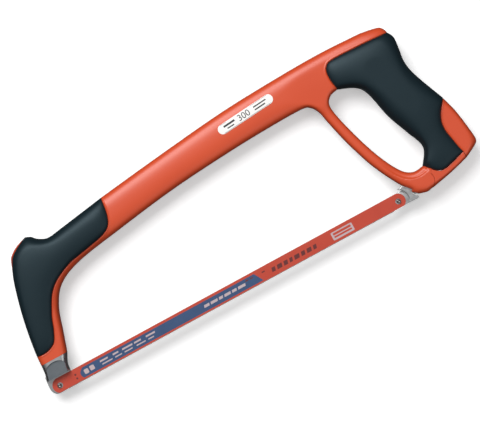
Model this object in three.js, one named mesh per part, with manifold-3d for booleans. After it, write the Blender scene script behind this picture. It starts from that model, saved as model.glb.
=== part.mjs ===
// A hacksaw for 300 mm blades, lying on its right side: +X from the toe to the handle along the
// blade, +Y from the teeth to the spine, +Z up out of the saw's left face. Lengths are in
// millimetres. The design frame has its origin at the blade's front hole, on the saw's middle
// plane, and the whole saw is moved at the end so that it rests on Z = 0 about X = Y = 0.
import * as THREE from 'three';
import { mergeVertices } from 'three/addons/utils/BufferGeometryUtils.js';
import Module from 'manifold-3d';

const wasm = await Module();
wasm.setup();

// ---- driving dimensions ----
const BLADE_SPAN = 300; // between the centres of the blade's holes
const BLADE_TEETH = -5.8; // from the holes' line down to the teeth
const BLADE_THICK = 0.65;
const BLADE_HOLE_R = 2.3;
const PIN_R = 1.5; // blade pins
const PIN_SEAT = 0.4; // each blade pin bears on its hole's outer side, this far off centre

const GAP = 0.3; // between pieces that touch
const SPINE_HALF = 9; // half of the orange body's thickness
const GUARD_HALF = 7; // the slim bow in front of the fingers
const HANDLE_HALF = 15; // rubber handle, the thickest part of the saw
const NOSE_HALF = 14.5; // rubber front grip
const BED_HALF = 8.5; // body under the rubber, all over
const RUBBER = 3; // rubber over the raised pads
const WALL = 3; // rubber round the edges

const CORE_HALF = 2.5; // steel core, cut from 5 mm plate
const CORE_WIDTH = 12;

const PIVOT = new THREE.Vector2(324, 4.2); // the tension lever's pivot pin
const CAM_THROW = 2; // the cam's centre sits this far behind the pivot
const CAM_R = 4.2;
const LINK_LENGTH = 10; // between the link's pin and the cam's centre
const LEVER_CLEAR = 8.9; // the lever stays outside this radius round its pivot
const CLEVIS = new THREE.Vector2(PIVOT.x + CAM_THROW - LINK_LENGTH, PIVOT.y); // link's front pin

const SEAT = -0.6; // height of the faces that the blade lies on
const REST = [184, 62.3, HANDLE_HALF]; // middle of the saw's footprint, and its resting height

// ---- outlines, in the plane of the saw ----
const at = (pairs) => pairs.map(([x, y]) => new THREE.Vector2(x, y));

// A smooth run through a few points, sampled about every `step` millimetres.
function run(pairs, step = 5) {
  const curve = new THREE.SplineCurve(at(pairs));
  return curve.getSpacedPoints(Math.max(1, Math.round(curve.getLength() / step)));
}

// Joins runs end to end into one closed outline, without doubled points.
function outline(...runs) {
  const all = runs.flat();
  return all.filter((p, i) => p.distanceTo(all[(i + all.length - 1) % all.length]) > 0.05);
}

function arc(x, y, radius, from, to, steps) {
  const points = [];
  for (let i = 0; i <= steps; i += 1) {
    const angle = THREE.MathUtils.degToRad(from + ((to - from) * i) / steps);
    points.push(new THREE.Vector2(x + radius * Math.cos(angle), y + radius * Math.sin(angle)));
  }
  return points;
}

const circle = (x, y, radius, steps = 20) => arc(x, y, radius, 0, 360, steps).slice(1);

function edgeDistance(p, points) {
  let nearest = Infinity;
  points.forEach((a, i) => {
    const b = points[(i + 1) % points.length];
    const side = b.clone().sub(a);
    const t = THREE.MathUtils.clamp(p.clone().sub(a).dot(side) / side.lengthSq(), 0, 1);
    nearest = Math.min(nearest, p.distanceTo(a.clone().addScaledVector(side, t)));
  });
  return nearest;
}

// The outline moved outwards by `distance`, or inwards if it is negative. Points that come
// closer to the old outline than that are where the new one would cross itself, so they go.
function grow(points, distance) {
  const turn = THREE.ShapeUtils.isClockWise(points) ? -1 : 1;
  const moved = points.map((p, i) => {
    const before = points[(i + points.length - 1) % points.length];
    const after = points[(i + 1) % points.length];
    const a = p.clone().sub(before).normalize();
    const b = after.clone().sub(p).normalize();
    const normal = new THREE.Vector2(a.y + b.y, -a.x - b.x).normalize().multiplyScalar(turn);
    const stretch = 1 / Math.max(0.6, Math.sqrt((1 + a.dot(b)) / 2));
    return p.clone().addScaledVector(normal, distance * stretch);
  });
  return moved.filter((p) => edgeDistance(p, points) > Math.abs(distance) - 0.04);
}

// A band of the given half width along a stretch of a curve.
function ribbon(curve, from, to, half, steps) {
  const left = [];
  const right = [];
  for (let i = 0; i <= steps; i += 1) {
    const u = from + ((to - from) * i) / steps;
    const p = curve.getPointAt(u);
    const t = curve.getTangentAt(u);
    left.push(new THREE.Vector2(p.x - t.y * half, p.y + t.x * half));
    right.push(new THREE.Vector2(p.x + t.y * half, p.y - t.x * half));
  }
  return [...right, ...left.reverse()];
}

const NOSE_FRONT = run([[-5.4, 20.5], [-5, 28], [-2.6, 46], [1, 65], [6.4, 86], [12.5, 102.5]], 7);
const NOSE_TIP = run([[12.5, 102.5], [15.5, 107], [22, 111.3], [31, 114.5]]);
const NOSE_TOP = run([[31, 114.5], [35, 112.8], [39.5, 108.6], [47, 105.7], [60, 107.4], [98, 113.4]]);
const SPINE_TOP = run(
  [[98, 113.4], [150, 120], [210, 126.7], [260, 129.6], [300, 130.6], [336, 129.4]], 16,
);
const SPINE_END = run([[336, 129.4], [350, 126.8], [354, 123.5], [355.4, 119.6]]);
const HANDLE_REAR = run([[355.4, 119.6], [358, 114], [357.2, 104], [356, 93], [358.8, 80], [369, 54.5]], 6);
const HEEL = run([[369, 54.5], [373, 40], [375.5, 24], [376.4, 14], [373.4, 10.2], [363.1, 4.7]], 6);
const GRIP_FOOT = run([[362.3, 10.5], [350, 6.8], [342.5, 5.4], [338, 6.8], [334.6, 9.9]]);
const TOE = run(
  [[327.9, -3.4], [326.1, -4], [323.6, -4.3], [320.2, -3.4], [317, -2.3], [314.3, -0.6], [312.6, 1.7]], 3,
);
const UNDERSIDE = run(
  [
    [313.5, 3.3], [308, 10], [302.2, 20], [297.2, 30], [293, 40], [286.4, 60], [281.3, 80], [279, 90],
    [275, 96.3], [268, 98.9], [240, 98.6], [200, 96.5], [150, 92.1], [100, 84.9], [60, 78], [39.5, 69.2],
    [28.7, 55], [22.3, 36], [17.4, 20.5],
  ],
  9,
);
// The lever swings clear of the toe on an arc round its own pivot.
const leverSeam = (radius) => arc(PIVOT.x, PIVOT.y, radius, 22, -58, 6);

const SILHOUETTE = outline(
  NOSE_FRONT, NOSE_TIP, NOSE_TOP, SPINE_TOP, SPINE_END, HANDLE_REAR, HEEL, GRIP_FOOT,
  leverSeam(LEVER_CLEAR - GAP), TOE, UNDERSIDE,
);
const HOLE_FRONT = run(
  [[330, 15.2], [321, 14.7], [312.5, 21.3], [302.6, 40.3], [294.1, 65.2], [288.7, 88.7], [292.4, 97], [300, 99.3]], 7,
);
const HOLE_REAR = run(
  [[300, 99.3], [313, 93.6], [319.5, 85], [325, 62], [332, 44], [337.6, 28], [330, 15.2]], 7,
);
const FINGER_HOLE = outline(HOLE_FRONT, HOLE_REAR);

const FRONT_GRIP = outline(
  run([[14, 33], [8, 29], [0, 27.7], [-5, 28]]),
  NOSE_FRONT.filter((p) => p.y > 30),
  NOSE_TIP,
  NOSE_TOP,
  run([[98, 113.4], [97.5, 103], [93, 92.6], [84, 87.8]]),
  run([[84, 87.8], [50, 80.3], [31.5, 70], [20, 50], [14, 33]], 6),
);
const HANDLE_GRIP = outline(
  run([[300, 99.3], [298, 110], [300, 118.4], [309, 121.3], [355.4, 119.6]], 6),
  HANDLE_REAR,
  run([[369, 54.5], [360.4, 44], [358, 31], [360, 20], [362.3, 10.5]], 6),
  GRIP_FOOT,
  run([[334.6, 9.9], [330, 15.2]]),
  [...HOLE_REAR].reverse(),
);

// ---- solids ----
function solid(geometry) {
  const bare = geometry.index ? geometry.toNonIndexed() : geometry.clone();
  bare.deleteAttribute('normal');
  bare.deleteAttribute('uv');
  const merged = mergeVertices(bare, 1e-4);
  return new wasm.Manifold(
    new wasm.Mesh({
      numProp: 3,
      vertProperties: merged.attributes.position.array,
      triVerts: new Uint32Array(merged.index.array),
    }),
  );
}

function surface(shape) {
  const { vertProperties, triVerts } = shape.getMesh();
  const geometry = new THREE.BufferGeometry();
  geometry.setAttribute('position', new THREE.BufferAttribute(vertProperties, 3));
  geometry.setIndex(new THREE.BufferAttribute(triVerts, 1));
  return geometry;
}

// A plate of the given outline from height `low` to `high`, with its edges bevelled.
function plate(points, low, high, bevel = 0) {
  const geometry = new THREE.ExtrudeGeometry(new THREE.Shape(points), {
    depth: high - low - 2 * bevel,
    bevelEnabled: bevel > 0,
    bevelThickness: bevel,
    bevelSize: bevel,
    bevelOffset: -bevel,
    bevelSegments: 1,
    steps: 1,
  });
  return solid(geometry.translate(0, 0, low + bevel));
}

const disc = (x, y, radius, low, high, steps) => plate(circle(x, y, radius, steps), low, high);
const join = (...shapes) => shapes.reduce((whole, shape) => whole.add(shape));
const cut = (blank, ...tools) => tools.reduce((left, tool) => left.subtract(tool), blank);

// The half of a solid on one side of the middle plane, a little short of it.
const BOX = outline(at([[-40, -40], [420, -40], [420, 170], [-40, 170]]));
const half = (shape, side) => shape.intersect(
  side > 0 ? plate(BOX, GAP / 2, 40) : plate(BOX, -40, -GAP / 2),
);

// ---- the steel core, its pins and the screws ----
const CORE_LINE = new THREE.SplineCurve(at([
  [6, 24], [8.6, 42], [14, 62], [23, 80], [38, 89.5], [60, 93.5], [100, 99.6], [150, 106.5], [200, 112],
  [250, 114.8], [290, 114.6], [318, 110], [335, 98], [339, 84], [343, 66], [348.6, 46], [349.4, 30], [343.5, 15],
]));
const SOCKET_END = 0.05; // the anvil's socket grips this much of the core
const screwStations = [0.11, 0.26, 0.38, 0.5, 0.62, 0.75, 0.85, 0.93];
const screwPlaces = screwStations.map((u) => CORE_LINE.getPointAt(u));
const rollPinPlaces = [0.016, 0.04].map((u) => CORE_LINE.getPointAt(u));
const rivetPlaces = [0.968, 0.987].map((u) => CORE_LINE.getPointAt(u));

const SCREW = { head: 3.3, headHigh: 2.4, shank: 1.5, top: -8.6, end: 5.4 };
const ROLL_PIN_R = 1.5;
const RIVET_R = 1.6;

function core() {
  const bar = plate(ribbon(CORE_LINE, 0, 1, CORE_WIDTH / 2, 40), -CORE_HALF, CORE_HALF);
  const bores = [
    ...screwPlaces.map((p) => disc(p.x, p.y, SCREW.shank + 0.6, -9, 9, 12)),
    ...rollPinPlaces.map((p) => disc(p.x, p.y, ROLL_PIN_R + GAP, -9, 9, 12)),
    ...rivetPlaces.map((p) => disc(p.x, p.y, RIVET_R + GAP, -9, 9, 12)),
  ];
  return cut(bar, ...bores);
}

// A pin or screw standing along Z, turned from [radius, height] pairs.
function turned(profile, steps = 12) {
  const points = at([[0, profile[0][1]], ...profile, [0, profile.at(-1)[1]]]);
  return new THREE.LatheGeometry(points, steps).rotateX(Math.PI / 2);
}

const pinShape = (radius, low, high, chamfer = 0.3) => turned([
  [radius - chamfer, low], [radius, low + chamfer], [radius, high - chamfer], [radius - chamfer, high],
]);

function screwShape({ head, headHigh, shank, top, end }) {
  const under = top + headHigh;
  return turned([
    [head * 0.7, top], [head, top + 0.8], [head, under], [shank, under], [shank, end - 1], [0.4, end],
  ]);
}

// ---- the front anvil, which carries the toe end of the blade ----
const ANVIL_TOP = 20.2;
const SHOULDER = 7.2; // underside of the anvil's head, just above the blade's back
const ANVIL_HALF = 8;

function anvil() {
  const head = plate(
    outline(
      at([[12.8, SHOULDER], [13.6, 13], [16.9, ANVIL_TOP]]),
      run([[-5.2, ANVIL_TOP], [-5.9, 13.5], [-7.4, SHOULDER]]),
    ),
    -ANVIL_HALF, ANVIL_HALF, 0.6,
  );
  const seat = plate(
    outline(
      at([[12.8, 12], [10.5, -4.8]]),
      run([[10.5, -4.8], [-3, -5.4], [-7, -3.2], [-8.4, 1], [-8, SHOULDER], [-7.2, 12]], 2.5),
    ),
    -5, SEAT, 0.3,
  );
  const socket = plate(ribbon(CORE_LINE, 0, SOCKET_END, CORE_WIDTH / 2 + 1.5, 8), -4.5, 4.5);
  const neck = plate(outline(at([[-1.5, 12], [12.5, 12], [13, 26], [-0.5, 26]])), -4.5, 4.5);
  const moon = plate(
    outline(
      at([[12, SHOULDER - 3], [12.5, 11.8]]),
      run([[12.5, 11.8], [11.6, 16.4], [6.5, 18.5], [0.7, 18.1], [-3, 15.4], [-5.9, SHOULDER - 3]], 2.5),
    ),
    ANVIL_HALF - 1.2, ANVIL_HALF + 4,
  );
  const coreWay = grow(ribbon(CORE_LINE, 0, SOCKET_END + 0.03, CORE_WIDTH / 2, 8), GAP);
  const coreSlot = plate(coreWay, -CORE_HALF - GAP, CORE_HALF + GAP);
  const bores = [
    ...rollPinPlaces.map((p) => disc(p.x, p.y, ROLL_PIN_R + GAP, -9, 9, 12)),
    disc(-PIN_SEAT, 0, PIN_R + GAP, -3.9, 3, 16),
  ];
  return cut(join(head, seat, socket, neck), moon, coreSlot, ...bores);
}

// ---- body shells ----
const CHEEK_SLOT = 3.2; // half width of the slot that the lever's cheeks swing in
const BRACKET = { inner: 3.2, outer: 4.4 };
const BRACKET_SIDE = outline(at([
  [314.4, -1.3], [328, -1.3], [330.6, 1.6], [331.3, 5.4], [332.4, 9.9], [335.2, 12], [338.6, 9.3], [343, 8.2],
  [351, 10.3], [355.2, 34], [343.6, 34], [340.6, 22], [337.4, 17], [331, 11.2], [314.4, 11.1],
]));
// Under the handle the body comes right down to the lever, with no rubber below it.
const HANDLE_FLOOR = outline(at([
  [333, 12.2], [334.6, 10.2], [338, 7.1], [342.5, 5.7], [350, 7.1], [358.4, 9.7], [357.4, 24], [341.5, 24],
  [338.8, 20], [335.8, 15.8],
]));

function bedSolid(extra) {
  const bed = cut(
    plate(grow(SILHOUETTE, -WALL + extra), -BED_HALF - extra, BED_HALF + extra),
    plate(grow(FINGER_HOLE, WALL - extra), -20, 20),
  );
  const reach = [FRONT_GRIP, HANDLE_GRIP].map((grip) => plate(grow(grip, 1.5), -20, 20));
  const pads = [[FRONT_GRIP, NOSE_HALF], [HANDLE_GRIP, HANDLE_HALF]].map(([grip, top]) => (
    plate(grow(grip, -6 + extra), -top + RUBBER - extra, top - RUBBER + extra)
  ));
  const floor = plate(grow(HANDLE_FLOOR, extra), -BED_HALF - extra, BED_HALF + extra);
  return join(bed.intersect(join(...reach)), floor, ...pads);
}

// What the mechanism in the foot needs: the bracket's room, the tang's way in and the lever's slot.
function footCavity() {
  const room = plate(grow(BRACKET_SIDE, GAP + 0.1), -BRACKET.outer - GAP, BRACKET.outer + GAP);
  const tangWay = plate(outline(at([[300, 1.2], [320, 1.2], [320, 7.6], [300, 7.6]])), -2.8, 2.8);
  const swing = plate(
    outline(at([[319.6, -9], [345, -9], [356, 3], [354, 11], [330, 11], [319.6, 4]])),
    -CHEEK_SLOT, CHEEK_SLOT,
  );
  const pinEnds = disc(PIVOT.x, PIVOT.y, 1.6, -6.4, 6.4, 12);
  return join(room, tangWay, swing, pinEnds);
}

function shells() {
  const blank = cut(plate(SILHOUETTE, -SPINE_HALF, SPINE_HALF, 2), plate(FINGER_HOLE, -20, 20));
  const slim = outline(at([[250, 17], [313, 17], [313, 95], [250, 95]]));
  const pockets = [FRONT_GRIP, HANDLE_GRIP].map((grip) => plate(grow(grip, GAP), -20, 20));
  const body = join(
    cut(blank, plate(slim, GUARD_HALF, 12), plate(slim, -12, -GUARD_HALF), ...pockets),
    bedSolid(0),
  );
  const coreWay = grow(ribbon(CORE_LINE, 0, 1, CORE_WIDTH / 2, 40), GAP);
  const channel = plate(coreWay, -CORE_HALF - GAP, CORE_HALF + GAP);
  const socketWay = grow(ribbon(CORE_LINE, 0, SOCKET_END, CORE_WIDTH / 2 + 1.5, 8), GAP + 0.1);
  const socketRoom = plate(socketWay, -4.9, 4.9);
  const neckRoom = plate(outline(at([[-2, 15], [13.2, 15], [13.7, 26.6], [-1, 26.6]])), -4.9, 4.9);
  const lightening = screwStations.slice(1).map((end, i) => (
    plate(ribbon(CORE_LINE, screwStations[i] + 0.014, end - 0.014, 7.6, 12), -5.8, 5.8)
  ));
  const label = plate(grow(LABEL, GAP), SPINE_HALF - 0.5, 12);
  const hollow = cut(body, channel, socketRoom, neckRoom, footCavity(), label, ...lightening);
  const threads = screwPlaces.map((p) => disc(p.x, p.y, SCREW.shank + GAP, -20, SCREW.end + GAP, 12));
  const sinkFloor = SCREW.top + SCREW.headHigh + GAP;
  const sinks = screwPlaces.map((p) => disc(p.x, p.y, SCREW.head + GAP, -20, sinkFloor, 12));
  const bored = cut(hollow, ...threads, ...sinks);
  return { left: half(bored, 1), right: half(bored, -1) };
}

function grips(points, top) {
  const skin = cut(plate(points, -top, top, 2.5), bedSolid(GAP));
  const holes = screwPlaces.map((p) => disc(p.x, p.y, SCREW.head + 0.5, -20, 0, 12));
  return { left: half(skin, 1), right: cut(half(skin, -1), ...holes) };
}

// ---- label ----
const LABEL_TILT = 5; // degrees, in line with the spine
const LABEL = [
  ...arc(248.5, 118.1, 3.9, -90 + LABEL_TILT, 90 + LABEL_TILT, 10),
  ...arc(206.7, 114.4, 3.9, 90 + LABEL_TILT, 270 + LABEL_TILT, 10),
];

// ---- tang, link, cam and lever ----
const REAR_PIN_X = BLADE_SPAN + PIN_SEAT;

function tang() {
  const shoulder = plate(
    outline(
      arc(BLADE_SPAN, 0, 9, 64, -34, 8),
      at([[316, -5], [316, -3.5], [313.4, -1.3], [312, 1.4], [312.9, 3.2], [309.5, 6.1], [307.5, 9.3]]),
    ),
    -5, 3.4, 0.3,
  );
  const seat = plate(
    outline(
      at([[312, -5], [312, 5], [308, 5.9]]),
      run([[308, 5.9], [298, 5.7], [294, 3], [293, 0], [294.4, -3.4], [298, -5]], 2.5),
    ),
    -5, SEAT,
  );
  const shankEnd = CLEVIS.x + 2.9;
  const shank = plate(outline(at([[309, 1.5], [shankEnd, 1.5], [shankEnd, 7.3], [309, 7.3]])), -2.5, 2.5);
  const fork = plate(outline(at([[312.8, -1], [330, -1], [330, 10], [312.8, 10]])), -1.5, 1.5);
  const bores = [
    disc(CLEVIS.x, CLEVIS.y, 1.2 + GAP, -6, 6, 12),
    disc(REAR_PIN_X, 0, PIN_R + GAP, -3.9, 3, 16),
  ];
  return cut(join(shoulder, seat, shank), fork, ...bores);
}

function link() {
  const camX = PIVOT.x + CAM_THROW;
  const blank = join(
    disc(CLEVIS.x, CLEVIS.y, 2.8, -1.2, 1.2, 16),
    plate(outline(at([[CLEVIS.x, 1.9], [camX, 1.4], [camX, 7], [CLEVIS.x, 6.5]])), -1.2, 1.2),
    disc(camX, PIVOT.y, CAM_R + 1.5, -1.2, 1.2, 28),
  );
  return cut(
    blank,
    disc(CLEVIS.x, CLEVIS.y, 1.2 + GAP, -3, 3, 16),
    disc(camX, PIVOT.y, CAM_R + 0.35, -3, 3, 28),
  );
}

const PIVOT_PIN_R = 1.25;
const leverScrewPlaces = at([[343, 2.4], [355, 5.6]]);
const LEVER_SCREW = { head: 1.7, headHigh: 1.4, shank: 0.9, top: -8.4, end: 4.4 };

const CHEEK_SIDE = outline(at([
  [PIVOT.x, -0.6], [333, 0.6], [346, 0.4], [358, 3.6], [358, 6.6], [344, 4], [335, 6.2], [PIVOT.x, 9],
]));

function cheek(side) {
  const [low, high] = side > 0 ? [1.6, 2.8] : [-2.8, -1.6];
  const blank = join(
    disc(PIVOT.x, PIVOT.y, 5, low, high, 24),
    plate(CHEEK_SIDE, low, high),
  );
  const bores = leverScrewPlaces.map((p) => disc(p.x, p.y, LEVER_SCREW.shank + GAP, -9, 9, 12));
  return cut(blank, disc(PIVOT.x, PIVOT.y, PIVOT_PIN_R + 0.25, -9, 9, 16), ...bores);
}

// The cover that the fingers pull: the orange strip under the handle, from the toe to the heel.
function leverCover() {
  const blank = plate(
    outline(
      [...leverSeam(LEVER_CLEAR)].reverse(),
      run([[334.4, 8.4], [338, 6.2], [342.5, 4.9], [350, 6.3], [362.3, 9.9]]),
      run([[362.5, 4.6], [350, 1], [340, -1.3], [331.8, -3]], 5),
    ),
    -SPINE_HALF, SPINE_HALF, 0,
  );
  const slotSide = outline(at([[327, -0.2], [333, 0], [346, -0.2], [358.6, 3.2], [358.6, 12], [327, 12]]));
  const slot = plate(slotSide, GAP / 3 - CHEEK_SLOT, CHEEK_SLOT - GAP / 3);
  const boreR = LEVER_SCREW.shank + GAP;
  const bores = leverScrewPlaces.map((p) => disc(p.x, p.y, boreR, -9, LEVER_SCREW.end + GAP, 12));
  const sinkFloor = LEVER_SCREW.top + LEVER_SCREW.headHigh + GAP;
  const sinks = leverScrewPlaces.map((p) => disc(p.x, p.y, LEVER_SCREW.head + GAP, -12, sinkFloor, 12));
  return cut(blank, slot, ...bores, ...sinks);
}

function bracket(side) {
  const { inner, outer } = BRACKET;
  const [low, high] = side > 0 ? [inner, outer] : [-outer, -inner];
  const blank = plate(BRACKET_SIDE, low, high);
  const bores = rivetPlaces.map((p) => disc(p.x, p.y, RIVET_R + GAP, -9, 9, 12));
  return cut(blank, disc(PIVOT.x, PIVOT.y, PIVOT_PIN_R + 0.25, -9, 9, 16), ...bores);
}

// ---- blade ----
function blade() {
  const blank = plate(
    outline(
      at([[0, BLADE_TEETH], [BLADE_SPAN + 1, BLADE_TEETH]]),
      arc(BLADE_SPAN, 0.2, 6, -60, 90, 8),
      arc(0, 0.2, 6, 90, 270, 12),
    ),
    SEAT + GAP, SEAT + GAP + BLADE_THICK,
  );
  return cut(blank, disc(0, 0, BLADE_HOLE_R, -3, 3, 24), disc(BLADE_SPAN, 0, BLADE_HOLE_R, -3, 3, 24));
}

// ---- the assembly ----
const finish = (color, roughness, metalness) => (
  new THREE.MeshStandardMaterial({ color, roughness, metalness })
);
const orangeNylon = finish('#d4502c', 0.42, 0);
const blackRubber = finish('#2a3335', 0.75, 0);
const blackOxide = finish('#3a3d40', 0.5, 0.8);
const castSteel = finish('#9aa0a5', 0.35, 0.9);
const plainSteel = finish('#b8bcbf', 0.3, 1);
const zincSteel = finish('#a9adb0', 0.35, 0.95);
const bladePaint = finish('#cc4b38', 0.45, 0.1);
const labelFilm = finish('#f2f2ef', 0.5, 0);

const saw = new THREE.Group();
saw.position.set(-REST[0], -REST[1], REST[2]);

function piece(name, shape, material, parent = saw, x = 0, y = 0) {
  const mesh = new THREE.Mesh(shape.getMesh ? surface(shape) : shape, material);
  mesh.name = name;
  mesh.position.set(x, y, 0);
  parent.add(mesh);
  return mesh;
}

const frame = new THREE.Group();
saw.add(frame);
piece('steel_core', core(), blackOxide, frame);
const { left, right } = shells();
piece('body_shell_left', left, orangeNylon, frame);
piece('body_shell_right', right, orangeNylon, frame);
const rubberGrips = [['front_grip', FRONT_GRIP, NOSE_HALF], ['handle_grip', HANDLE_GRIP, HANDLE_HALF]];
for (const [name, points, top] of rubberGrips) {
  const skins = grips(points, top);
  piece(`${name}_left`, skins.left, blackRubber, frame);
  piece(`${name}_right`, skins.right, blackRubber, frame);
}
piece('label_plate', plate(LABEL, SPINE_HALF - 0.2, SPINE_HALF + GAP), labelFilm, frame);
piece('front_anvil', anvil(), castSteel, frame);
piece('front_blade_pin', pinShape(PIN_R, -3.6, 2.2), plainSteel, frame, -PIN_SEAT, 0);
const rollPin = pinShape(ROLL_PIN_R, -4.4, 4.4);
rollPinPlaces.forEach((p, i) => piece(`anvil_roll_pin_${i + 1}`, rollPin, plainSteel, frame, p.x, p.y));
screwPlaces.forEach((p, i) => piece(`body_screw_${i + 1}`, screwShape(SCREW), zincSteel, frame, p.x, p.y));
piece('foot_bracket_left', bracket(1), zincSteel, frame);
piece('foot_bracket_right', bracket(-1), zincSteel, frame);
const rivet = pinShape(RIVET_R, -4.6, 4.6);
rivetPlaces.forEach((p, i) => piece(`bracket_rivet_${i + 1}`, rivet, plainSteel, frame, p.x, p.y));
piece('lever_pivot_pin', pinShape(PIVOT_PIN_R, -6.1, 6.1), plainSteel, frame, PIVOT.x, PIVOT.y);

const slide = new THREE.Group();
saw.add(slide);
piece('rear_tang', tang(), castSteel, slide);
piece('rear_blade_pin', pinShape(PIN_R, -3.6, 2.2), plainSteel, slide, REAR_PIN_X, 0);
piece('link_pin', pinShape(1.2, -2.4, 2.4, 0.2), plainSteel, slide, CLEVIS.x, CLEVIS.y);
piece('tension_link', link(), zincSteel);

const lever = new THREE.Group();
saw.add(lever);
piece('lever_cover', leverCover(), orangeNylon, lever);
piece('lever_cheek_left', cheek(1), zincSteel, lever);
piece('lever_cheek_right', cheek(-1), zincSteel, lever);
piece(
  'tension_cam',
  cut(
    disc(PIVOT.x + CAM_THROW, PIVOT.y, CAM_R, -1.3, 1.3, 28),
    disc(PIVOT.x, PIVOT.y, PIVOT_PIN_R + 0.25, -3, 3, 16),
  ),
  plainSteel, lever,
);
const leverScrew = screwShape(LEVER_SCREW);
leverScrewPlaces.forEach((p, i) => piece(`lever_screw_${i + 1}`, leverScrew, zincSteel, lever, p.x, p.y));

piece('blade', blade(), bladePaint);

export default saw;
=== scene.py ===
# %% [markdown]
# # A hacksaw
# The saw lies on its right side on a pale bench, as it comes to hand from a tool drawer: an
# orange nylon body, two black rubber grips, bare steel ends and a painted blade. The packed
# model is the frame: it says where every piece is, and nearly all that shows is made again
# here with the roundness and the finish of the real one.

# %% Load the frame
import math

import bmesh
import bpy
import numpy as np
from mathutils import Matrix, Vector
from mathutils.geometry import delaunay_2d_cdt


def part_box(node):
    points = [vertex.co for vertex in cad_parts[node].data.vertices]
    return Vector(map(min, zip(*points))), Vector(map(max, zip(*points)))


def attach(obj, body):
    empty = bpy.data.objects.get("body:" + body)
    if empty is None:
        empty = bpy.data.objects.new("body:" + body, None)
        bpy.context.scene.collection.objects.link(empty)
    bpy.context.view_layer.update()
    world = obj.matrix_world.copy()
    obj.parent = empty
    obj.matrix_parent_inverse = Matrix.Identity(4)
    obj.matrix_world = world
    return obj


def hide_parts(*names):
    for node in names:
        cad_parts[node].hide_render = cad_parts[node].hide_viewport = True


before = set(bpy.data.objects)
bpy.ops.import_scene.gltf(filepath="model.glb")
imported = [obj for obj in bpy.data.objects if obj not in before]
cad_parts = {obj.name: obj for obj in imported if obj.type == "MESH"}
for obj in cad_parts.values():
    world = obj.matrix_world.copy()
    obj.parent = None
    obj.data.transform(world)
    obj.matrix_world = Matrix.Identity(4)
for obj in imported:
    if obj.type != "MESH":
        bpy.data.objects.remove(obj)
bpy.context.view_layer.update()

# %% [markdown]
# ## Where things are
# A saw's natural zero is the hole at the toe end of its blade, and its lengths are easiest to
# read in millimetres. The frame gives that hole's place, so one function takes a point in the
# saw's millimetres to the bench's metres, and no other offset is needed anywhere.

# %% The saw's own millimetres
MM = 0.001
PIN_SEAT = 0.4  # each blade pin bears on the outer side of its hole
BLADE_SPAN = 300.0  # between the blade's two holes

pin_low, pin_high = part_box("front_blade_pin")
grip_low, grip_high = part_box("handle_grip_right")[0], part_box("handle_grip_left")[1]
ZERO = Vector(((pin_low.x + pin_high.x) / 2 + PIN_SEAT * MM, (pin_low.y + pin_high.y) / 2, 0))
ZERO.z = (grip_low.z + grip_high.z) / 2
HANDLE_HALF = (grip_high.z - grip_low.z) / 2 / MM
NOSE_HALF = (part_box("front_grip_left")[1].z - ZERO.z) / MM
SEAM = 0.15  # each shell stops this short of the middle plane


def metres(points):
    """Points in the saw's millimetres, as metres on the bench."""
    return np.asarray(points, float) * MM + np.array(ZERO)


def link_object(name, data):
    """A new object in the scene, at the origin."""
    piece = bpy.data.objects.new(name, data)
    bpy.context.scene.collection.objects.link(piece)
    return piece


print("toe hole at", [round(v, 4) for v in ZERO], "handle half", round(HANDLE_HALF, 2))

# %% [markdown]
# ## Camera, light and bench
# The saw is seen square on, from straight above, with its blade climbing to the right. A long
# lens keeps the two ends at one scale. One large soft light from the upper left rounds off the
# spine, a weak one from the other side keeps the lower edges from going black, and the bench
# is nearly white.

# %% Camera
TILT = math.radians(28.557)  # how far the blade climbs in the view
VIEW_WIDTH = 374.3  # mm of bench across the view
VIEW_CENTRE = (188.3, 52.75)
DISTANCE = 1.6

camera_data = bpy.data.cameras.new("camera")
camera = link_object("camera", camera_data)
bpy.context.scene.camera = camera
camera_data.lens = camera_data.sensor_width * DISTANCE / (VIEW_WIDTH * MM)
camera.location = Vector(metres((*VIEW_CENTRE, 0))) + Vector((0, 0, DISTANCE))
camera.rotation_euler = (0, 0, -TILT)


# %% Lights and bench
def view_direction(right, up):
    """A direction given across and up the view, as one on the bench."""
    c, s = math.cos(TILT), math.sin(TILT)
    return Vector((right * c + up * s, -right * s + up * c, 0))


def softbox(name, toward, height, size, power):
    """A square soft light, off to one side of the saw and turned to face it."""
    data = bpy.data.lights.new(name, "AREA")
    data.size = size
    data.energy = power
    lamp = link_object(name, data)
    lamp.location = toward + Vector((0, 0, height))
    lamp.rotation_euler = lamp.location.to_track_quat("Z", "Y").to_euler()


softbox("key_light", view_direction(-0.62, 0.8), 1.35, 1.05, 27)
softbox("fill_light", view_direction(1.0, -0.5), 1.2, 0.9, 3)

world = bpy.data.worlds.new("studio")
bpy.context.scene.world = world
world.use_nodes = True
sky = world.node_tree
toward = sky.nodes.new("ShaderNodeTexCoord")
split = sky.nodes.new("ShaderNodeSeparateXYZ")
dome_light = sky.nodes.new("ShaderNodeMapRange")  # pale overhead, dark towards the walls
dome_light.inputs["From Min"].default_value = 0.1
dome_light.inputs["To Min"].default_value = 0.05
dome_light.inputs["To Max"].default_value = 0.42
sky.links.new(toward.outputs["Generated"], split.inputs[0])
sky.links.new(split.outputs["Z"], dome_light.inputs["Value"])
sky.links.new(dome_light.outputs[0], sky.nodes["Background"].inputs["Strength"])
sky.nodes["Background"].inputs["Color"].default_value = (1, 1, 1, 1)
bpy.context.scene.view_settings.view_transform = "Standard"

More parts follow.
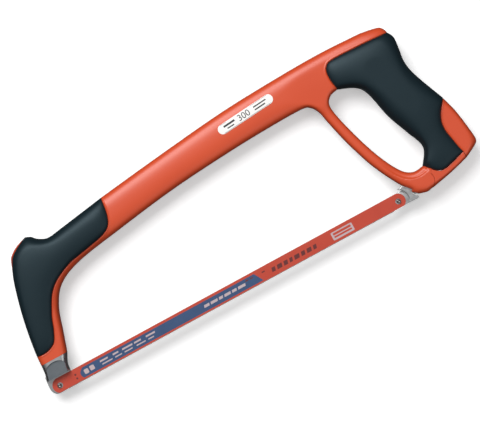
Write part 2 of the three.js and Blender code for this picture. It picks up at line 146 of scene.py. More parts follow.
bench_data = bpy.data.meshes.new("bench")
bench_data.from_pydata([(-3, -3, 0), (3, -3, 0), (3, 3, 0), (-3, 3, 0)], [], [(0, 1, 2, 3)])
bench = link_object("bench", bench_data)
bench_finish = bpy.data.materials.new("pale_bench")
bench_finish.use_nodes = True
bench_shader = bench_finish.node_tree.nodes["Principled BSDF"]
bench_shader.inputs["Base Color"].default_value = (0.9, 0.9, 0.9, 1)
bench_shader.inputs["Roughness"].default_value = 0.9
bench_shader.inputs["Emission Color"].default_value = (1, 1, 1, 1)
bench_shader.inputs["Emission Strength"].default_value = 0.35
bench.visible_diffuse = bench.visible_glossy = False  # its light would wash out the saw's edges
bench_data.materials.append(bench_finish)

# %% [markdown]
# ## Outlines
# Seen from the side, the saw is a set of smooth curves. Each is drawn through a few points
# with a Catmull-Rom curve, and shared: the line where the rubber meets the nylon is one run,
# used by the piece on each side of it, so the two always meet.


# %% Curve helpers
def smooth_run(pairs, step=1.4):
    """A Catmull-Rom curve through the points, sampled every `step` millimetres."""
    p = np.array(pairs, float)
    padded = np.vstack([p[:1], p, p[-1:]])
    t = np.linspace(0, 1, 24, endpoint=False)[:, None]
    parts = []
    for a, b, c, d in zip(padded, padded[1:], padded[2:], padded[3:]):
        into, out = (c - a) / 2, (d - b) / 2
        cubic, square = 2 * b - 2 * c + into + out, 3 * c - 3 * b - 2 * into - out
        parts.append(cubic * t**3 + square * t**2 + into * t + b)
    curve = np.vstack([*parts, p[-1:]])
    along = np.concatenate([[0], np.cumsum(np.linalg.norm(np.diff(curve, axis=0), axis=1))])
    stops = np.linspace(0, along[-1], max(1, round(along[-1] / step)) + 1)
    return np.column_stack([np.interp(stops, along, curve[:, k]) for k in (0, 1)])


def arc(x, y, radius, start, end, steps):
    angles = np.radians(np.linspace(start, end, steps + 1))
    return np.column_stack([x + radius * np.cos(angles), y + radius * np.sin(angles)])


def disc_loop(x, y, radius, count=48):
    return arc(x, y, radius, 0, 360, count)[1:]


def closed(*runs, longest=1.5):
    """Runs joined end to end into one loop, without doubled points or long bare sides."""
    loop = np.vstack([np.array(r, float) for r in runs])
    loop = loop[np.linalg.norm(loop - np.roll(loop, 1, axis=0), axis=1) > 0.03]
    points = []
    for a, b in zip(loop, np.roll(loop, -1, axis=0)):
        count = max(1, int(np.ceil(np.linalg.norm(b - a) / longest)))
        points += [a + (b - a) * i / count for i in range(count)]
    return np.array(points)


def distance(points, path, ring=True):
    """How far each point is from a loop, or from an open path."""
    a = path if ring else path[:-1]
    side = (np.roll(path, -1, axis=0) if ring else path[1:]) - a
    near = []
    for chunk in np.array_split(points, max(1, len(points) // 2000)):
        rel = chunk[:, None, :] - a[None]
        t = np.clip((rel * side).sum(2) / (side * side).sum(1), 0, 1)
        near.append(np.sqrt(((rel - t[..., None] * side) ** 2).sum(2).min(1)))
    return np.concatenate(near)


def inside(points, loop):
    x, y = points[:, 0:1], points[:, 1:2]
    (ax, ay), (bx, by) = loop.T, np.roll(loop, -1, axis=0).T
    crosses = (ay > y) != (by > y)
    reach = ax + (y - ay) * (bx - ax) / np.where(by == ay, 1e-9, by - ay)
    return (crosses & (x < reach)).sum(1) % 2 == 1


def inset(loop, depth):
    """The loop moved inwards. Points that fold back over it are dropped."""
    before, after = loop - np.roll(loop, 1, axis=0), np.roll(loop, -1, axis=0) - loop
    before /= np.linalg.norm(before, axis=1)[:, None]
    after /= np.linalg.norm(after, axis=1)[:, None]
    normal = np.column_stack([-(before + after)[:, 1], (before + after)[:, 0]])
    normal /= np.linalg.norm(normal, axis=1)[:, None]
    shifted = np.roll(loop, -1, axis=0)
    area = (loop[:, 0] * shifted[:, 1] - shifted[:, 0] * loop[:, 1]).sum()
    stretch = 1 / np.maximum(0.6, np.sqrt((1 + (before * after).sum(1)) / 2))
    moved = loop + normal * (math.copysign(depth, area) * stretch)[:, None]
    return moved[(distance(moved, loop) > depth - 0.02) & inside(moved, loop)]


# %% The saw's outline
NOSE_FRONT = smooth_run([(-5.4, 20.5), (-5, 28), (-2.6, 46), (1, 65), (6.4, 86), (12.5, 102.5)])
NOSE_TIP = smooth_run([(12.5, 102.5), (15.5, 107), (22, 111.3), (31, 114.5)])
NOSE_TOP = smooth_run([(31, 114.5), (35, 112.8), (39.5, 108.6), (47, 105.7), (60, 107.4), (98, 113.4)])
SPINE_TOP = smooth_run([(98, 113.4), (150, 120), (210, 126.7), (260, 129.6), (300, 130.6), (336, 129.4)])
SPINE_END = smooth_run([(336, 129.4), (350, 126.8), (354, 123.5), (355.4, 119.6)])
HANDLE_REAR = smooth_run([(355.4, 119.6), (358, 114), (357.2, 104), (356, 93), (358.8, 80), (369, 54.5)])
HEEL = smooth_run([(369, 54.5), (373, 40), (375.5, 24), (376.4, 14), (373.4, 10.2), (363.1, 4.7)])
LEVER_UNDER = smooth_run([(363.1, 4.7), (350, 1), (340, -1.3), (327.8, -3.7)])
TOE = smooth_run(
    [(327.9, -3.4), (326.1, -4), (323.6, -4.3), (320.2, -3.4), (317, -2.3), (314.3, -0.6), (312.6, 1.7)]
)
UNDERSIDE = smooth_run(
    [(313.5, 3.3), (308, 10), (302.2, 20), (297.2, 30), (293, 40), (286.4, 60), (281.3, 80), (279, 90),
     (275, 96.3), (268, 98.9), (240, 98.6), (200, 96.5), (150, 92.1), (100, 84.9), (60, 78), (39.5, 69.2),
     (28.7, 55), (22.3, 36), (17.4, 20.5)]
)
HOLE_FRONT = smooth_run(
    [(330, 15.2), (321, 14.7), (312.5, 21.3), (302.6, 40.3), (294.1, 65.2), (288.7, 88.7), (292.4, 97),
     (300, 99.3)]
)
HOLE_REAR = smooth_run(
    [(300, 99.3), (313, 93.6), (319.5, 85), (325, 62), (332, 44), (337.6, 28), (330, 15.2)]
)

# Lines where two pieces meet.
FRONT_JOINT = smooth_run(
    [(-5, 28), (2, 27.6), (8, 29), (13, 32.4), (17.4, 41), (22.2, 53), (32.6, 69.2), (50, 79.2), (70, 83.6),
     (85, 86.9), (92.9, 91.8), (96.6, 101), (98, 113.4)]
)
HANDLE_JOINT = smooth_run(
    [(300, 99.3), (298.3, 106), (298.3, 114), (300.8, 119), (307, 121.3), (330, 120.8), (355.4, 119.6)]
)
HEEL_JOINT = smooth_run(
    [(369, 54.5), (362.5, 47), (358.6, 39), (358, 31), (359.6, 22), (361, 15), (362.3, 10.5)]
)
LEVER_JOINT = smooth_run([(362.3, 10.5), (350, 6.8), (342.5, 5.4), (338, 6.8), (334.6, 9.9)])
FOOT_JOINT = smooth_run([(334.6, 9.9), (332.2, 12.5), (330, 15.2)])
PIVOT = (324.0, 4.2)
LEVER_CLEAR = 8.9


def lever_seam(radius):
    """The toe's edge is round about the lever's pivot, so that the lever swings clear of it."""
    return arc(*PIVOT, radius, 22, -58, 14)


WHOLE = closed(
    smooth_run([(-9.5, -22), (-8, 0), (-7.3, 7.2), (-5.9, 14), (-5.4, 20.5)]),
    NOSE_FRONT, NOSE_TIP, NOSE_TOP, SPINE_TOP, SPINE_END, HANDLE_REAR, HEEL, LEVER_UNDER, TOE, UNDERSIDE,
    smooth_run([(17.4, 20.5), (13.6, 12.8), (12.9, 7.2), (12.6, 0), (12.4, -22)]),
)
FINGER_HOLE = closed(HOLE_FRONT, HOLE_REAR)
print("outline points", len(WHOLE), "finger hole", len(FINGER_HOLE))

# %% [markdown]
# ## Round sections
# Cut across, the spine and the guard are ovals, and the grips swell like a cushion. A soap film
# blown up over an outline has that form: it is found by solving Poisson's equation on a grid.
# The square root of twice the film's height is the height of a circle over a strip, so it
# serves as a depth that is round everywhere, with no crease down the middle. Each part of the
# saw scales it to its own half thickness.


# %% Blown-up outlines
CELL = 1.0  # of the grid that the film is solved on, in mm
SWEEPS = 420
OVERSHOOT = 1.88  # each step is taken this much too far, which settles the film sooner
ACROSS = ((1, 0), (-1, 0), (0, 1), (0, -1))
AROUND = (*ACROSS, (1, 1), (1, -1), (-1, 1), (-1, -1))


def signed_depth(xy, loops):
    depth = np.min([distance(xy, loop) for loop in loops], axis=0)
    within = inside(xy, loops[0])
    for hole in loops[1:]:
        within &= ~inside(xy, hole)
    return np.where(within, depth, -depth)


def shifted(grid, dx, dy):
    return np.roll(grid, (-dx, -dy), axis=(0, 1))


def solve_film(depth):
    """Height of the film at the grid's points, zero on the outline."""
    within = depth > 0
    diagonal = np.zeros_like(depth)
    for way in ACROSS:
        other = shifted(depth, *way)
        share = np.clip(depth / np.maximum(depth - other, 1e-9), 0.12, 1)
        diagonal += np.where(other > 0, 1, 1 / share)
    film_height = np.zeros_like(depth)
    checker = np.indices(depth.shape).sum(0) % 2
    for _ in range(SWEEPS):
        for colour in (0, 1):
            around = sum(shifted(film_height, *way) for way in ACROSS)
            step = (around + CELL**2) / diagonal - film_height
            film_height += np.where(within & (checker == colour), OVERSHOOT * step, 0)
    return film_height


def spread_out(ratio, known, layers=3):
    """Fills the points just outside the outline with the mean of their known neighbours."""
    for _ in range(layers):
        total = sum(shifted(np.where(known, ratio, 0), *way) for way in AROUND)
        count = sum(shifted(known.astype(float), *way) for way in AROUND)
        fresh = ~known & (count > 0)
        ratio = np.where(fresh, total / np.maximum(count, 1), ratio)
        known = known | fresh
    return ratio


def cubic_weights(t):
    first, last = ((-t + 2) * t - 1) * t / 2, (t - 1) * t * t / 2
    return [first, ((3 * t - 5) * t * t + 2) / 2, ((-3 * t + 4) * t + 1) * t / 2, last]


def read_grid(grid, low, xy):
    """The grid's value at each point, by Catmull-Rom interpolation."""
    at = (xy - low) / CELL
    cell = np.clip(np.floor(at).astype(int), 1, np.array(grid.shape) - 3)
    part = at - cell
    wx, wy = cubic_weights(part[:, 0]), cubic_weights(part[:, 1])
    return sum(
        wx[a] * wy[b] * grid[cell[:, 0] + a - 1, cell[:, 1] + b - 1] for a in range(4) for b in range(4)
    )


def inflated(*loops):
    """A function that gives the round depth of points inside the first loop."""
    low = loops[0].min(0) - 4 * CELL
    count = np.ceil((loops[0].max(0) + 4 * CELL - low) / CELL).astype(int)
    xs, ys = low[0] + CELL * np.arange(count[0]), low[1] + CELL * np.arange(count[1])
    points = np.stack(np.meshgrid(xs, ys, indexing="ij"), axis=-1).reshape(-1, 2)
    depth = signed_depth(points, loops).reshape(count)
    film_height = solve_film(depth)
    ratio = spread_out(film_height / np.maximum(depth, 0.05), depth > 0.3 * CELL)
    whole = np.where(depth > 0.3 * CELL, film_height, ratio * depth)

    def round_depth(xy):
        near = np.maximum(np.min([distance(xy, loop) for loop in loops], axis=0), 0)
        middle = ease((near - CELL) / (1.5 * CELL))
        height = (1 - middle) * read_grid(ratio, low, xy) * near + middle * read_grid(whole, low, xy)
        return np.sqrt(2 * np.maximum(height, 0))
    return round_depth


def ease(t):
    t = np.clip(t, 0, 1)
    return t * t * (3 - 2 * t)


# %% The surface of the body
# Each station: place, half thickness and the round depth at which it is reached.
STATIONS = np.array([
    (6, 24, 8.2, 9), (10, 45, 8.8, 9.5), (22, 78, 9, 12), (60, 93, 9, 13.5), (110, 101, 9, 14.5),
    (160, 107, 9, 15), (210, 112, 9, 15.3), (250, 114.5, 9, 15.5), (290, 114, 9, 15), (335, 112, 9, 15),
    (283, 90, 7.6, 7), (287.5, 74, 6.6, 4.8), (291, 60, 6.4, 4.6), (297, 43, 6.4, 4.6), (304, 27, 6.8, 5.2),
    (313, 10, 8, 7), (325, 4, 8.6, 7.5), (345, 5, 8.8, 7.5), (340, 60, 9, 17), (368, 30, 9, 10),
])
BLEND = 13.0  # mm over which one station gives way to the next
GROOVE = 0.4  # depth of the fine line where two pieces meet
GROOVE_HALF = 0.4
LIP = 0.3  # the nylon stands up a little beside the line
JOINTS = (FRONT_JOINT, HANDLE_JOINT, HEEL_JOINT, LEVER_JOINT, FOOT_JOINT)

body_depth = inflated(WHOLE, FINGER_HOLE)


def swell(depth, reach, power):
    """0 to 1 over `reach`. At power 1 a strip's section is an ellipse, and above it is fuller."""
    t = np.clip(depth / reach, 0, 1)
    return (1 - (1 - t) ** power) ** (1 / power)


def stations(xy):
    away = ((xy[:, None, :] - STATIONS[None, :, :2]) ** 2).sum(2)
    weight = np.exp(-(away - away.min(1)[:, None]) / (2 * BLEND**2))
    weight /= weight.sum(1)[:, None]
    return weight @ STATIONS[:, 2], weight @ STATIONS[:, 3]


def near_lines(xy, lines):
    return np.min([distance(xy, line, ring=False) for line in lines], axis=0)


def groove(near):
    return GROOVE * (1 - ease(near / GROOVE_HALF))


def body_surface(xy):
    half, reach = stations(xy)
    return half * swell(body_depth(xy), reach, 1.4)


def foot_step(xy):
    """Round the finger hole the foot is cut back, and rises to its full height past a step."""
    from_hole = distance(xy, FINGER_HOLE)
    below = ease((38 - xy[:, 1]) / 16) * ease((xy[:, 0] - 292) / 16)
    return 1.3 * (1 - ease((from_hole - 3.8) / 2.0)) * below


def body_height(xy):
    near = near_lines(xy, JOINTS)
    lip = LIP * np.exp(-(((near - 1.0) / 0.45) ** 2))
    return np.maximum(body_surface(xy) - foot_step(xy) - groove(near) + lip, SEAM)


# %% [markdown]
# ## From outline to solid
# The plane inside an outline is filled with points: rings that run parallel to the edge, close
# together where the surface turns fastest, and a plain grid in the middle. A Delaunay
# triangulation joins them, and each is lifted to the height that the surface has there. The
# flat side of a shell closes the solid, or a mirrored top does, for a piece that isn't split.

# %% Mesh helpers
RINGS = (0.03, 0.12, 0.3, 0.6, 1.0, 1.6, 2.4, 3.4, 4.6, 6.0, 7.6, 9.4, 11.4)
FILL_STEP = 1.35


def add_object(name, vertices, faces, crease=38):
    """A mesh object at the origin, smooth except along edges sharper than `crease` degrees."""
    mesh = bpy.data.meshes.new(name)
    mesh.from_pydata([tuple(v) for v in vertices], [], [tuple(f) for f in faces])
    finish_mesh(mesh, crease)
    return link_object(name, mesh)


def finish_mesh(mesh, crease=38):
    bm = bmesh.new()
    bm.from_mesh(mesh)
    bmesh.ops.remove_doubles(bm, verts=bm.verts, dist=2e-6)
    bmesh.ops.recalc_face_normals(bm, faces=bm.faces)
    for face in bm.faces:
        face.smooth = True
    bmesh.ops.dissolve_degenerate(bm, edges=bm.edges, dist=1e-6)
    for edge in bm.edges:
        edge.smooth = len(edge.link_faces) == 2 and edge.calc_face_angle(0) < math.radians(crease)
    bm.to_mesh(mesh)
    bm.free()


def walls(low, high, count):
    """Side faces between two closed rows of points that start at these numbers."""
    return [(low + i, low + (i + 1) % count, high + (i + 1) % count, high + i) for i in range(count)]


def triangles(points, *loops):
    """Delaunay triangles of the points, kept where they lie inside the loops."""
    edges = []
    start = 0
    for loop in loops:
        n = len(loop)
        edges += [(start + i, start + (i + 1) % n) for i in range(n)]
        start += n
    out, _, faces, _, _, _ = delaunay_2d_cdt([Vector(p) for p in points], edges, [], 0, 1e-7)
    out = np.array([(v.x, v.y) for v in out])
    faces = np.array(faces)
    middle = out[faces].mean(1)
    kept = inside(middle, loops[0])
    for hole in loops[1:]:
        kept &= ~inside(middle, hole)
    return out, faces[kept]


def fill_points(loop, rings, step):
    """Rings parallel to the loop, then a grid of points in what is left."""
    parallel = [inset(loop, depth) for depth in rings]
    low, high = loop.min(0), loop.max(0)
    gx, gy = np.meshgrid(np.arange(low[0], high[0], step), np.arange(low[1], high[1], step * 0.87))
    gx = gx + (np.arange(gx.shape[0]) % 2)[:, None] * step / 2
    grid = np.column_stack([gx.ravel(), gy.ravel()])
    grid = grid[inside(grid, loop)]
    grid = grid[distance(grid, loop) > rings[-1] + step * 0.6]
    return np.vstack([*parallel, grid])


def beside(line, offsets):
    """Rows of points at these distances on both sides of a line."""
    step = np.gradient(line, axis=0)
    step /= np.linalg.norm(step, axis=1)[:, None]
    across = np.column_stack([-step[:, 1], step[:, 0]])
    return np.vstack([line + across * offset * way for offset in offsets for way in (-1, 1)])


def thin_out(fixed, points, gap):
    """Drops points that sit closer together than `gap`, first come first kept."""
    keys = {tuple(k) for k in np.round(fixed / gap).astype(int)}
    kept = []
    for p, k in zip(points, map(tuple, np.round(points / gap).astype(int))):
        if k not in keys:
            keys.add(k)
            kept.append(p)
    return np.array(kept)


def crowned_parts(loop, height, base, split, rows):
    """Vertices and faces of a solid whose upper face is lifted to `height` over the loop."""
    rows = np.reshape(rows, (-1, 2))
    rows = rows[inside(rows, loop) & (distance(rows, loop) > 0.15)]
    inner = thin_out(loop, np.vstack([rows, fill_points(loop, RINGS, FILL_STEP)]), 0.12)
    flat, faces = triangles(np.vstack([loop, inner]), loop)
    top = np.column_stack([flat, np.maximum(height(flat), base)])
    sides = walls(0, len(top), len(loop))
    if split:
        under, under_faces = triangles(loop, loop)
        under = np.column_stack([under, np.full(len(under), base)])
    else:
        under, under_faces = top * (1, 1, -1), faces
        sides = [side for side in sides if top[side[0], 2] + top[side[1], 2] > 0]
    return np.vstack([top, under]), [*faces, *(under_faces[:, ::-1] + len(top)), *sides]


def crowned(name, loops, height, side=0, base=SEAM, rows=()):
    """One object from one or more loops: side 1 is the left half, -1 the right half, 0 both.

    `rows` are points that the surface needs besides the even filling, where it turns fast.
    """
    vertices, faces = [], []
    count = 0
    for loop in loops:
        v, f = crowned_parts(loop, height, base if side else 0, bool(side), rows)
        vertices.append(v * (1, 1, side if side else 1))
        faces += [tuple(int(i) + count for i in face) for face in f]
        count += len(v)
    return add_object(name, metres(np.vstack(vertices)), faces)


def slab_parts(loops, low, high):
    flat, faces = triangles(np.vstack(loops), *loops)
    n = len(flat)
    v = np.vstack([np.column_stack([flat, np.full(n, z)]) for z in (high, low)])
    f = [*faces, *(faces[:, ::-1] + n)]
    start = 0
    for loop in loops:
        f += walls(start, n + start, len(loop))
        start += len(loop)
    return v, f


def slab(name, loops, low, high, bevel=0.0, segments=3):
    """A plate with holes, and its edges rounded by the Bevel modifier."""
    v, f = slab_parts([np.asarray(loop, float) for loop in loops], low, high)
    piece = add_object(name, metres(v), f)
    if bevel:
        with_modifier(
            piece, "BEVEL", width=bevel * MM, segments=segments, limit_method="ANGLE", angle_limit=0.6,
        )
    return piece


def with_modifier(piece, kind, **settings):
    """Adds a modifier, keeps its result as the piece's mesh, and takes it off again."""
    modifier = piece.modifiers.new(kind.title(), kind)
    for key, value in settings.items():
        setattr(modifier, key, value)
    keep_result(piece, modifier)
    finish_mesh(piece.data)
    return piece


def keep_result(piece, modifier):
    bpy.context.view_layer.update()
    evaluated = piece.evaluated_get(bpy.context.evaluated_depsgraph_get())
    result = bpy.data.meshes.new_from_object(evaluated)
    piece.modifiers.remove(modifier)
    piece.data = result


def combine(piece, other, operation):
    """Joins another object to the piece, or cuts it out of it, and removes the other."""
    with_modifier(piece, "BOOLEAN", object=other, operation=operation, solver="EXACT")
    bpy.data.objects.remove(other)
    return piece


def carve(piece, *tools):
    for tool in tools:
        combine(piece, tool, "DIFFERENCE")
    return piece


def fuse(piece, *others):
    for other in others:
        combine(piece, other, "UNION")
    return piece


def hand_over(piece, body, material, slot, *nodes):
    """Gives the piece its finish and its body, and hides the CAD nodes that it stands for."""
    piece.data.materials.clear()
    piece.data.materials.append(material)
    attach(piece, body)
    if nodes:
        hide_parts(*nodes)
    print(piece.name, "triangles", sum(len(p.vertices) - 2 for p in piece.data.polygons))
    return piece


# %% [markdown]
# ## Finishes
# Every material starts from the real one. Colours are written as the hex values that a paint
# chart would give, and one function turns them to linear light. One small function adds a
# node with its settings and its links.


# %% Colour and node helpers
def linear(code, alpha=1.0):
    """An sRGB hex colour as linear light."""
    parts = [int(code[i:i + 2], 16) / 255 for i in (1, 3, 5)]
    return (*(c / 12.92 if c <= 0.04045 else ((c + 0.055) / 1.055) ** 2.4 for c in parts), alpha)


def add(tree, kind, settings=None, links=None):
    """Adds a node. A setting is one of its inputs or properties, a link names its input."""
    node = tree.nodes.new(kind)
    for key, value in (settings or {}).items():
        if isinstance(key, int) or key in node.inputs:
            node.inputs[key].default_value = value
        else:
            setattr(node, key, value)
    for key, socket in (links or {}).items():
        tree.links.new(socket, node.inputs[key])
    return node


def finish(name, colours, drift_mm, grain_mm, depth_mm, roughness, stretch=(1, 1, 1), **shader):
    """A material for one surface.

    Its colour drifts between two hex values over `drift_mm`, as pigment and handling make it.
    Its grain is `grain_mm` across and `depth_mm` deep, and its roughness follows the grain.
    """
    material = bpy.data.materials.new(name)
    material.use_nodes = True
    tree = material.node_tree
    surface = tree.nodes["Principled BSDF"]
    for key, value in shader.items():
        surface.inputs[key.replace("_", " ").title().replace("Ior", "IOR")].default_value = value
    place = add(tree, "ShaderNodeTexCoord").outputs["Object"]
    drift = add(tree, "ShaderNodeTexNoise", {"Scale": 1 / (drift_mm * MM), "Detail": 3.0}, {"Vector": place})
    first, second = map(linear, colours)
    mix = add(tree, "ShaderNodeMix", {"data_type": "RGBA", 6: first, 7: second}, {0: drift.outputs["Fac"]})
    if stretch != (1, 1, 1):
        place = add(tree, "ShaderNodeMapping", {"Scale": stretch}, {"Vector": place}).outputs[0]
    grain = add(tree, "ShaderNodeTexNoise", {"Scale": 1 / (grain_mm * MM), "Detail": 2.0}, {"Vector": place})
    bump = add(tree, "ShaderNodeBump", {"Distance": depth_mm * MM}, {"Height": grain.outputs["Fac"]})
    low, high = roughness
    span = add(tree, "ShaderNodeMapRange", {"To Min": low, "To Max": high}, {"Value": grain.outputs["Fac"]})
    tree.links.new(mix.outputs[2], surface.inputs["Base Color"])
    tree.links.new(bump.outputs[0], surface.inputs["Normal"])
    tree.links.new(span.outputs[0], surface.inputs["Roughness"])
    return material


# %% [markdown]
# ### Moulded orange nylon
# The body is glass-filled nylon from a spark-eroded mould: an even orange with a fine satin
# grain, so highlights are broad and soft. IOR 1.53 is nylon's.

# %% Orange nylon
orange_nylon = finish(
    "glass_filled_nylon_orange", ("#d04a26", "#d8512a"), 35, 0.45, 0.012, (0.32, 0.42), ior=1.53,
)

# %% [markdown]
# ### Overmoulded rubber
# The grips are a soft thermoplastic rubber, nearly black with a cool cast. The mould leaves
# it matt, and its skin scatters a pale sheen where it turns away.

# %% Black rubber
black_rubber = finish(
    "thermoplastic_rubber_black", ("#0d1b21", "#122127"), 20, 0.6, 0.02, (0.42, 0.56),
    ior=1.5, sheen_weight=0.06, sheen_roughness=0.4,
    sheen_tint=linear("#8fa3ad"), specular_tint=linear("#bcd4de"),
)

# %% [markdown]
# ### Steel: cast, turned and plated
# The anvil and the tang are cast steel, tumbled bright. Pins are turned from bar, and the
# screws and stampings are zinc plated. A metal keeps the default IOR, and its colour is the
# tint of its reflection.

# %% Steels
cast_steel = finish("tumbled_cast_steel", ("#b9bbbd", "#cfd0d1"), 6, 0.8, 0.02, (0.24, 0.4), metallic=1.0)

milled_steel = finish(
    "milled_cast_steel", ("#6b7176", "#7d8388"), 4, 0.5, 0.02, (0.34, 0.5), stretch=(0.08, 1, 1),
    metallic=1.0,
)

turned_steel = finish("turned_steel", ("#6f6a67", "#8a8481"), 3, 0.25, 0.008, (0.2, 0.34), metallic=1.0)

zinc_plate = finish("zinc_plated_steel", ("#a9adb0", "#bfc1be"), 5, 0.5, 0.01, (0.26, 0.4), metallic=1.0)

black_oxide = finish(
    "black_oxide_steel", ("#33363a", "#42464a"), 8, 0.6, 0.015, (0.42, 0.56), metallic=1.0,
)

# %% [markdown]
# ### Blade paint, print and label
# The blade is dip painted in a thin orange-red with a little gloss, its maker's panel is
# screen printed in blue, and the teeth are ground after painting, so they are bare. The label
# is a white film. All print on this saw is plain bars and a size.

# %% Paint and print
blade_paint = finish("blade_paint_red", ("#b93f2c", "#c54833"), 12, 0.9, 0.012, (0.3, 0.42), ior=1.5)

blue_ink = finish("screen_ink_blue", ("#2c456b", "#37537c"), 6, 0.5, 0.006, (0.34, 0.48), ior=1.5)

pale_ink = finish("screen_ink_pale", ("#b7a3a8", "#c8b4b6"), 3, 0.5, 0.006, (0.4, 0.55), ior=1.5)

dark_ink = finish("screen_ink_dark", ("#5a1d1c", "#6a2625"), 3, 0.5, 0.006, (0.4, 0.55), ior=1.5)

label_film = finish(
    "white_label_film", ("#f1efec", "#f8f7f5"), 8, 1.2, 0.006, (0.36, 0.46), ior=1.5, coat_weight=0.15,
)

print("finishes", len(bpy.data.materials))

# %% [markdown]
# ## Body
# Two shells screwed together round the steel core. The main part runs from the anvil along
# the spine and down the guard to the foot, and a second patch of the same nylon shows at the
# heel, where the rubber stops.

# %% Body shells
NOSE_FOOT = NOSE_FRONT[NOSE_FRONT[:, 1] < 27.8]
BODY_LOOP = closed(
    NOSE_FOOT, FRONT_JOINT, SPINE_TOP, SPINE_END, HANDLE_JOINT[::-1], HOLE_FRONT[::-1], FOOT_JOINT[::-1],
    lever_seam(LEVER_CLEAR - 0.3), TOE, UNDERSIDE,
)
HEEL_LOOP = closed(HEEL, HEEL_JOINT[::-1])

LINE_ROWS = np.vstack([beside(line, (0.2, 0.4, 0.7, 1.0, 1.4, 1.9)) for line in JOINTS])
STEP_ROWS = beside(np.vstack([FINGER_HOLE, FINGER_HOLE[:1]]), (3.8, 4.3, 4.8, 5.3, 5.8, 6.4))
SWING = [(319.6, -9), (345, -9), (356, 3), (354, 11), (330, 11), (319.6, 4)]
TANG_WAY = [(300, 1.2), (320, 1.2), (320, 7.6), (300, 7.6)]
ROOM = [(313.8, -1.7), (329.4, -1.7), (331.4, 4.4), (331.4, 11.6), (313.8, 11.6)]
CHEEK_SLOT = 3.2
SINK_FLOOR = -5.9  # of the holes that the screws' heads sit in
BELOW = -20.0  # under the whole saw


def screw_places(stem):
    """The middle of every screw node of that name, in the saw's millimetres."""
    names = sorted(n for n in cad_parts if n.startswith(stem))
    middles = [sum(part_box(n), Vector()) / 2 for n in names]
    return names, [((m - ZERO) / MM).to_tuple() for m in middles]


BODY_SCREWS, body_screw_places = screw_places("body_screw")
LEVER_SCREWS, lever_screw_places = screw_places("lever_screw")


def screw_tools(places, radius, low, high):
    return [slab("screw_tool", [disc_loop(x, y, radius, 32)], low, high) for x, y, _ in places]


for side, word in ((1, "left"), (-1, "right")):
    shell = crowned(
        f"body_{word}", [BODY_LOOP, HEEL_LOOP], body_height, side, rows=np.vstack([LINE_ROWS, STEP_ROWS]),
    )
    # The foot is hollow for the lever's slot, the tang's way in and the link's room.
    carve(
        shell,
        slab("swing_tool", [SWING], -CHEEK_SLOT, CHEEK_SLOT),
        slab("tang_tool", [TANG_WAY], -2.8, 2.8),
        slab("room_tool", [ROOM], -4.7, 4.7),
    )
    if side < 0:
        carve(shell, *screw_tools(body_screw_places, 3.7, BELOW, SINK_FLOOR))
    hand_over(shell, "frame", orange_nylon, "orange_nylon", f"body_shell_{word}")

# %% [markdown]
# ## Grips
# Each shell carries its own skin of rubber. At the joint the rubber is flush with the nylon,
# and it swells from there to the full thickness of the grip, so the hand meets no step. The
# free edges are rounder than the body's.

# %% Front and handle grips
NOSE_EDGE = smooth_run([(9.4, 94), (12.5, 102.5), (15.5, 107), (22, 111.3), (31, 114.5)])
RIM_JOINT = smooth_run([(9.4, 94), (13.8, 102.3), (16.6, 106), (22.8, 110.2), (31, 114.5)])
FRONT_LOOP = closed(
    NOSE_FRONT[(NOSE_FRONT[:, 1] > 28.2) & (NOSE_FRONT[:, 1] < 93.6)], RIM_JOINT, NOSE_TOP, FRONT_JOINT[::-1],
)
HANDLE_LOOP = closed(HANDLE_JOINT, HANDLE_REAR, HEEL_JOINT, LEVER_JOINT, FOOT_JOINT, HOLE_REAR[::-1])


def grip_height(top, reach, joints, own_depth):
    def height(xy):
        half, _ = stations(xy)
        rise = (top - half) * swell(own_depth(xy), reach, 1.15)
        step = foot_step(xy) * (1 - ease(near_lines(xy, joints) / 4))
        return np.maximum(body_surface(xy) + rise - step - groove(near_lines(xy, joints)), SEAM)
    return height


front_height = grip_height(NOSE_HALF, 17, (FRONT_JOINT,), inflated(FRONT_LOOP))
handle_height = grip_height(
    HANDLE_HALF, 17, (HANDLE_JOINT, HEEL_JOINT, LEVER_JOINT, FOOT_JOINT), inflated(HANDLE_LOOP),
)

for side, word in ((1, "left"), (-1, "right")):
    front = crowned(f"front_rubber_{word}", [FRONT_LOOP], front_height, side, rows=LINE_ROWS)
    handle = crowned(f"handle_rubber_{word}", [HANDLE_LOOP], handle_height, side, rows=LINE_ROWS)
    carve(handle, slab("swing_tool", [SWING], -CHEEK_SLOT, CHEEK_SLOT))
    if side < 0:
        near_front = [p for p in body_screw_places if p[0] < 90]
        near_handle = [p for p in body_screw_places if p[0] > 300]
        carve(front, *screw_tools(near_front, 3.8, BELOW, SINK_FLOOR))
        carve(handle, *screw_tools(near_handle, 3.8, BELOW, SINK_FLOOR))
    rim = crowned(f"nose_rim_{word}", [closed(NOSE_EDGE, RIM_JOINT[::-1])], body_surface, side)
    hand_over(rim, "frame", orange_nylon, "orange_nylon")
    hand_over(front, "frame", black_rubber, "black_rubber", f"front_grip_{word}")
    hand_over(handle, "frame", black_rubber, "black_rubber", f"handle_grip_{word}")

# %% [markdown]
# ## Lever
# The strip under the handle is the cover of the tension lever. It reads the same surface as
# the body, so when it is shut only two fine seams give it away. Steel cheeks inside it carry
# the cam, and the CAD pieces for those are right as they are.

# %% Lever cover
LEVER_TOP = smooth_run([(334.2, 9.7), (337.8, 6.5), (342.5, 5.1), (350, 6.5), (362.1, 10.1)])
LEVER_LOOP = closed(
    lever_seam(LEVER_CLEAR)[::-1],
    LEVER_TOP,
    [(362.4, 4.6)],
    LEVER_UNDER[(LEVER_UNDER[:, 0] < 362) & (LEVER_UNDER[:, 0] > 330)],
)


def lever_height(xy):
    near = near_lines(xy, (LEVER_TOP, lever_seam(LEVER_CLEAR)))
    return np.maximum(body_surface(xy) - 0.5 * groove(near), 0)


